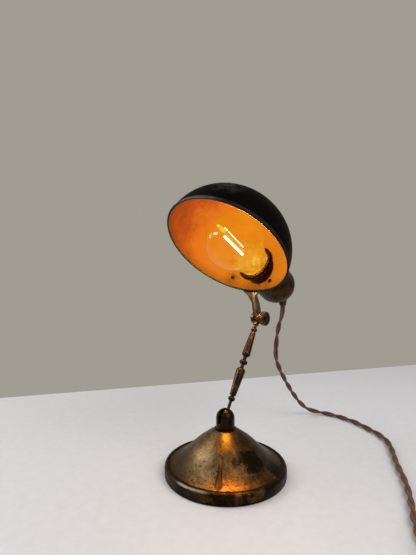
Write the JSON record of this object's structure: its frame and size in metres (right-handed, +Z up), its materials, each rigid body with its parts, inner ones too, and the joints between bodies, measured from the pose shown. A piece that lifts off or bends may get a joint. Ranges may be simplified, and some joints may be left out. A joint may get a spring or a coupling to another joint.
{
  "type": "desk lamp",
  "caption": "Aged brass desk lamp with a bell base, a leaning turned stem on a slotted ball joint, a thumb-nut knuckle, a half-dome shade, a lit clear bulb and a twisted cloth cord.",
  "frame": {"origin": "Centre of the felt under the base, on the table plane.", "axes": "+Z up, the shade faces -Y and the stem leans towards +Y, +X along the knuckle pin towards the thumb nut."},
  "size_m": [0.3544, 0.2741, 0.2823],
  "materials": {
    "aged_brass": "worn, mottled brown patina over brass",
    "dark_brass": "dark brown patina",
    "bronze": "dark rubbed bronze",
    "dark_shade": "near-black patina outside, warm reflective inside",
    "cast_weight": "rough casting",
    "felt": "felt",
    "steel": "plain",
    "porcelain": "glazed",
    "bakelite": "moulded dark brown",
    "amber_glass": "clear amber",
    "filament": "lit rods",
    "brown_cloth": "braided cloth over two twisted cores",
    "tie_cloth": "woven band"
  },
  "bodies": {
    "base": {"base_shell": "aged_brass", "base_weight": "cast_weight", "felt_pad": "felt", "socket_stud": "bronze", "stud_washer": "steel", "stud_nut": "steel", "ball_cup": "steel", "disc_spring": "steel", "cap_ring": "steel", "cord_drop": "brown_cloth", "cord_run": "brown_cloth", "cord_coil": "brown_cloth", "cord_tail": "brown_cloth", "cord_tie": "tie_cloth", "plug_body": "bakelite", "plug_pins": "steel"},
    "swivel": {"swivel_cap": "bronze"},
    "stem": {"stem_ball": "bronze", "stem_spindle": "bronze", "knuckle_fork": "bronze", "pivot_bolt": "bronze", "friction_washers": "steel"},
    "nut": {"thumb_nut": "bronze"},
    "head": {"bracket": "aged_brass", "bracket_screws": "bronze", "shade": "dark_shade", "lampholder_body": "bronze", "shade_ring": "bronze", "lampholder_cap": "dark_brass", "cord_bush": "bakelite", "porcelain_core": "porcelain", "thread_sleeve": "aged_brass", "centre_contact": "aged_brass", "terminal_screws": "aged_brass", "switch_block": "bakelite", "bulb_glass": "amber_glass", "bulb_cap": "aged_brass", "bulb_insulator": "bakelite", "bulb_tip": "steel", "bulb_mount": "amber_glass", "bulb_filaments": "filament", "bulb_wires": "steel"},
    "key": {"switch_spindle": "bronze", "switch_key": "bakelite"}
  },
  "joints": [
    {"name": "stem_swivel", "type": "hinge", "parent": "base", "child": "swivel", "pos_m": [0, 0, 0.053], "axis": [0, 0, 1], "range_deg": [-120, 120], "deforming": ["cord_drop"]},
    {"name": "stem_tilt", "type": "hinge", "parent": "swivel", "child": "stem", "pos_m": [0, 0, 0.053], "axis": [-1, 0, 0], "range_deg": [-60, 5], "deforming": ["cord_drop"]},
    {"name": "knuckle_tilt", "type": "hinge", "parent": "stem", "child": "head", "pos_m": [0, 0.05494, 0.14702], "axis": [1, 0, 0], "range_deg": [-80, 35], "deforming": ["cord_drop"]},
    {"name": "thumb_nut_turn", "type": "hinge", "parent": "stem", "child": "nut", "pos_m": [0.008, 0.05494, 0.14702], "axis": [1, 0, 0], "range_deg": [-360, 360]},
    {"name": "switch_key_turn", "type": "hinge", "parent": "head", "child": "key", "pos_m": [-0.025, 0.09255, 0.18199], "axis": [-1, 0, 0], "continuous": true}
  ]
}
